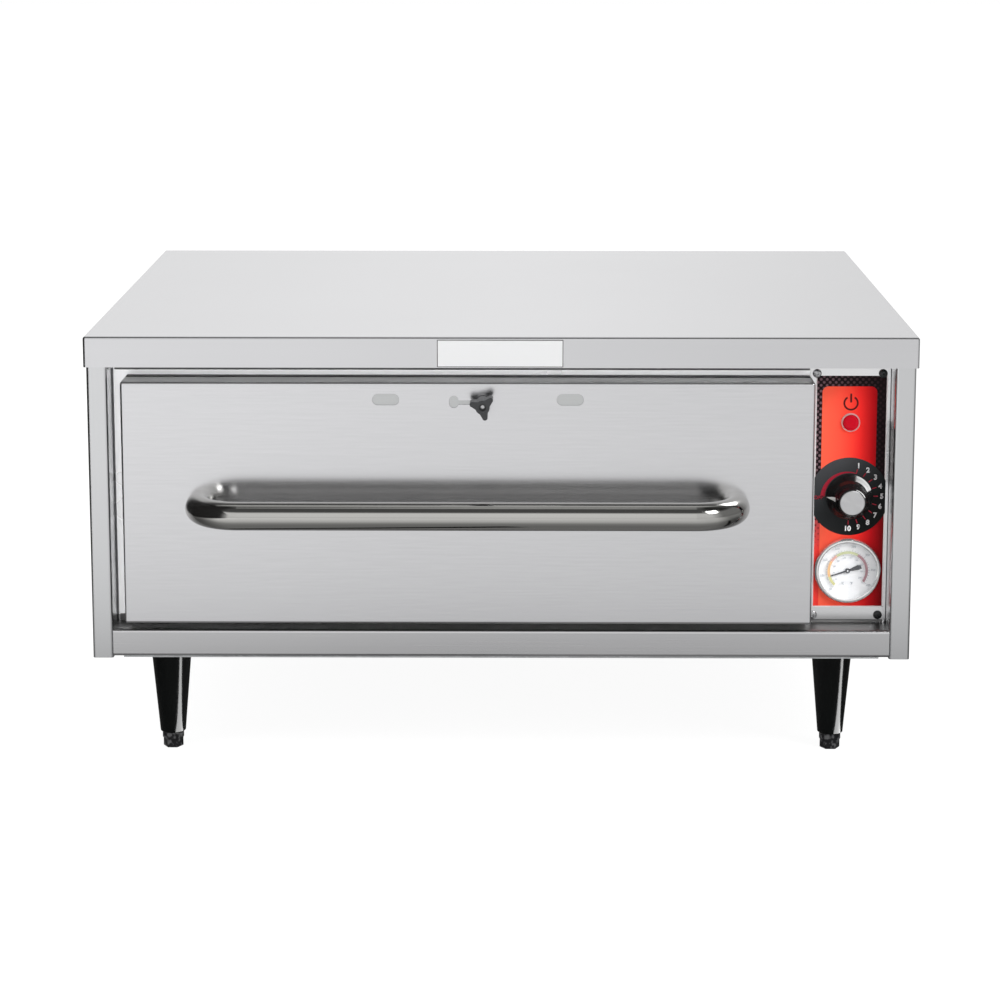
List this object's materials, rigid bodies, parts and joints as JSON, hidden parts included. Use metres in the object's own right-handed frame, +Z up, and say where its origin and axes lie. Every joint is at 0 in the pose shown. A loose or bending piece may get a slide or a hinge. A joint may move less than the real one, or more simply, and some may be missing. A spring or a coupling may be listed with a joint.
{
  "type": "warming drawer",
  "caption": "Free-standing warming drawer with an insulated front, bar handle, sliding food pan, vent shutter, thermostat knob and dial thermometer, on legs.",
  "frame": {"origin": "on the floor, under the middle of the object's box, handle included", "axes": "+X to the right seen from the front, +Y to the back, +Z up"},
  "size_m": [0.752, 0.6547, 0.4002],
  "materials": {
    "brushed_stainless": "satin, brushed one way",
    "dark_stainless": "satin",
    "aluminised_sheet": "dull grey metal",
    "zinc_plate": "zinc plated",
    "mineral_wool": "loose fibre",
    "printed_film": "red and black print under gloss film",
    "screw_steel": "bright",
    "black_enamel": "gloss black",
    "foot_metal": "black with worn edges",
    "handle_steel": "polished, dark",
    "pan_steel": "drawn stainless",
    "nylon": "self-lubricating",
    "element_sheath": "heat-darkened alloy sheath",
    "shutter_steel": "satin",
    "black_plastic": "moulded phenolic",
    "knob_black": "gloss phenolic",
    "spun_aluminium": "spun",
    "chrome": "bright",
    "red_lens": "translucent red",
    "white_dial": "white enamel with printed scale",
    "glass": "clear",
    "needle_black": "matt black",
    "copper_bulb": "drawn copper",
    "ceramic": "glazed",
    "lead_sleeve": "silicone sleeve"
  },
  "bodies": {
    "cabinet": {"top_cap": "brushed_stainless", "side_panel_right": "brushed_stainless", "side_panel_left": "brushed_stainless", "bottom_rail": "brushed_stainless", "base_pan": "aluminised_sheet", "rear_panel": "aluminised_sheet", "face_frame": "dark_stainless", "liner_top": "aluminised_sheet", "liner_bottom": "aluminised_sheet", "liner_left": "aluminised_sheet", "liner_right": "aluminised_sheet", "liner_rear": "aluminised_sheet", "compartment_wall": "aluminised_sheet", "cavity_insulation": "mineral_wool", "control_plate": "brushed_stainless", "control_overlay": "printed_film", "control_plate_screws": "screw_steel", "legs": "black_enamel", "leg_nuts": "zinc_plate", "cabinet_slides": "zinc_plate", "heating_element": "element_sheath", "element_brackets": "aluminised_sheet", "thermostat_body": "black_plastic", "switch_bezel": "chrome", "switch_body": "black_plastic", "thermometer_case": "dark_stainless", "thermometer_dial": "white_dial", "thermometer_bezel": "chrome", "thermometer_lens": "glass", "sensing_bulbs": "copper_bulb", "sensor_clips": "zinc_plate", "terminal_block": "ceramic", "cable_gland": "black_plastic", "internal_leads": "lead_sleeve", "rear_panel_screws": "screw_steel"},
    "drawer": {"drawer_front_shell": "brushed_stainless", "drawer_front_liner": "brushed_stainless", "drawer_front_wool": "mineral_wool", "drawer_handle": "handle_steel", "handle_bolts": "zinc_plate", "drawer_frame": "dark_stainless", "food_pan": "pan_steel", "drawer_slides": "zinc_plate"},
    "slide_members": {"middle_slides": "zinc_plate"},
    "front_cabinet_roller_pair": {"front_cabinet_rollers": "nylon"},
    "rear_middle_roller_pair": {"rear_middle_rollers": "nylon"},
    "front_middle_roller_pair": {"front_middle_rollers": "nylon"},
    "rear_drawer_roller_pair": {"rear_drawer_rollers": "nylon"},
    "vent_slide": {"vent_shutter": "shutter_steel", "vent_stud": "screw_steel"},
    "vent_clamp": {"vent_knob": "black_plastic"},
    "thermostat_dial": {"thermostat_knob": "knob_black", "knob_cap": "spun_aluminium", "thermostat_spindle": "zinc_plate"},
    "button": {"power_button": "red_lens"},
    "needle": {"thermometer_needle": "needle_black"},
    "foot_front_left_body": {"foot_front_left": "foot_metal"},
    "foot_front_right_body": {"foot_front_right": "foot_metal"},
    "foot_rear_left_body": {"foot_rear_left": "foot_metal"},
    "foot_rear_right_body": {"foot_rear_right": "foot_metal"}
  },
  "joints": [
    {"name": "drawer_slide", "type": "slide", "parent": "cabinet", "child": "drawer", "axis": [0, -1, 0], "range_m": [0, 0.38]},
    {"name": "slide_extension", "type": "slide", "parent": "cabinet", "child": "slide_members", "axis": [0, -1, 0], "range_m": [0, 0.19]},
    {"name": "front_cabinet_roller_spin", "type": "hinge", "parent": "cabinet", "child": "front_cabinet_roller_pair", "pos_m": [-0.03, -0.2, 0.3023], "axis": [1, 0, 0], "range_deg": [0, 907.24]},
    {"name": "rear_middle_roller_spin", "type": "hinge", "parent": "slide_members", "child": "rear_middle_roller_pair", "pos_m": [-0.03, 0.222, 0.2983], "axis": [1, 0, 0], "range_deg": [0, 907.24]},
    {"name": "front_middle_roller_spin", "type": "hinge", "parent": "slide_members", "child": "front_middle_roller_pair", "pos_m": [-0.03, -0.2, 0.3023], "axis": [1, 0, 0], "range_deg": [0, 907.24]},
    {"name": "rear_drawer_roller_spin", "type": "hinge", "parent": "drawer", "child": "rear_drawer_roller_pair", "pos_m": [-0.03, 0.222, 0.2983], "axis": [1, 0, 0], "range_deg": [0, 907.24]},
    {"name": "vent_shutter_slide", "type": "slide", "parent": "drawer", "child": "vent_slide", "axis": [-1, 0, 0], "range_m": [0, 0.023]},
    {"name": "vent_knob_turn", "type": "hinge", "parent": "vent_slide", "child": "vent_clamp", "pos_m": [-0.016, -0.275, 0.3421], "axis": [0, -1, 0], "range_deg": [0, 360]},
    {"name": "thermostat_turn", "type": "hinge", "parent": "cabinet", "child": "thermostat_dial", "pos_m": [0.3188, -0.24, 0.2476], "axis": [0, 1, 0], "range_deg": [0, 270]},
    {"name": "power_button_press", "type": "slide", "parent": "cabinet", "child": "button", "axis": [0, 1, 0], "range_m": [0, 0.003], "stiffness_N_per_m": 900, "springref_m": -0.002},
    {"name": "thermometer_needle_turn", "type": "hinge", "parent": "cabinet", "child": "needle", "pos_m": [0.3188, -0.2263, 0.178], "axis": [0, 1, 0], "range_deg": [-30, 233]},
    {"name": "foot_front_left_level", "type": "slide", "parent": "cabinet", "child": "foot_front_left_body", "axis": [0, 0, -1], "range_m": [0, 0.025]},
    {"name": "foot_front_right_level", "type": "slide", "parent": "cabinet", "child": "foot_front_right_body", "axis": [0, 0, -1], "range_m": [0, 0.025]},
    {"name": "foot_rear_left_level", "type": "slide", "parent": "cabinet", "child": "foot_rear_left_body", "axis": [0, 0, -1], "range_m": [0, 0.025]},
    {"name": "foot_rear_right_level", "type": "slide", "parent": "cabinet", "child": "foot_rear_right_body", "axis": [0, 0, -1], "range_m": [0, 0.025]}
  ],
  "couplings": [
    {"joint": "slide_extension", "follows": "drawer_slide", "ratio": 0.5},
    {"joint": "front_cabinet_roller_spin", "follows": "drawer_slide", "rad_per_m": 41.667},
    {"joint": "rear_middle_roller_spin", "follows": "drawer_slide", "rad_per_m": 41.667},
    {"joint": "front_middle_roller_spin", "follows": "drawer_slide", "rad_per_m": 41.667},
    {"joint": "rear_drawer_roller_spin", "follows": "drawer_slide", "rad_per_m": 41.667}
  ]
}
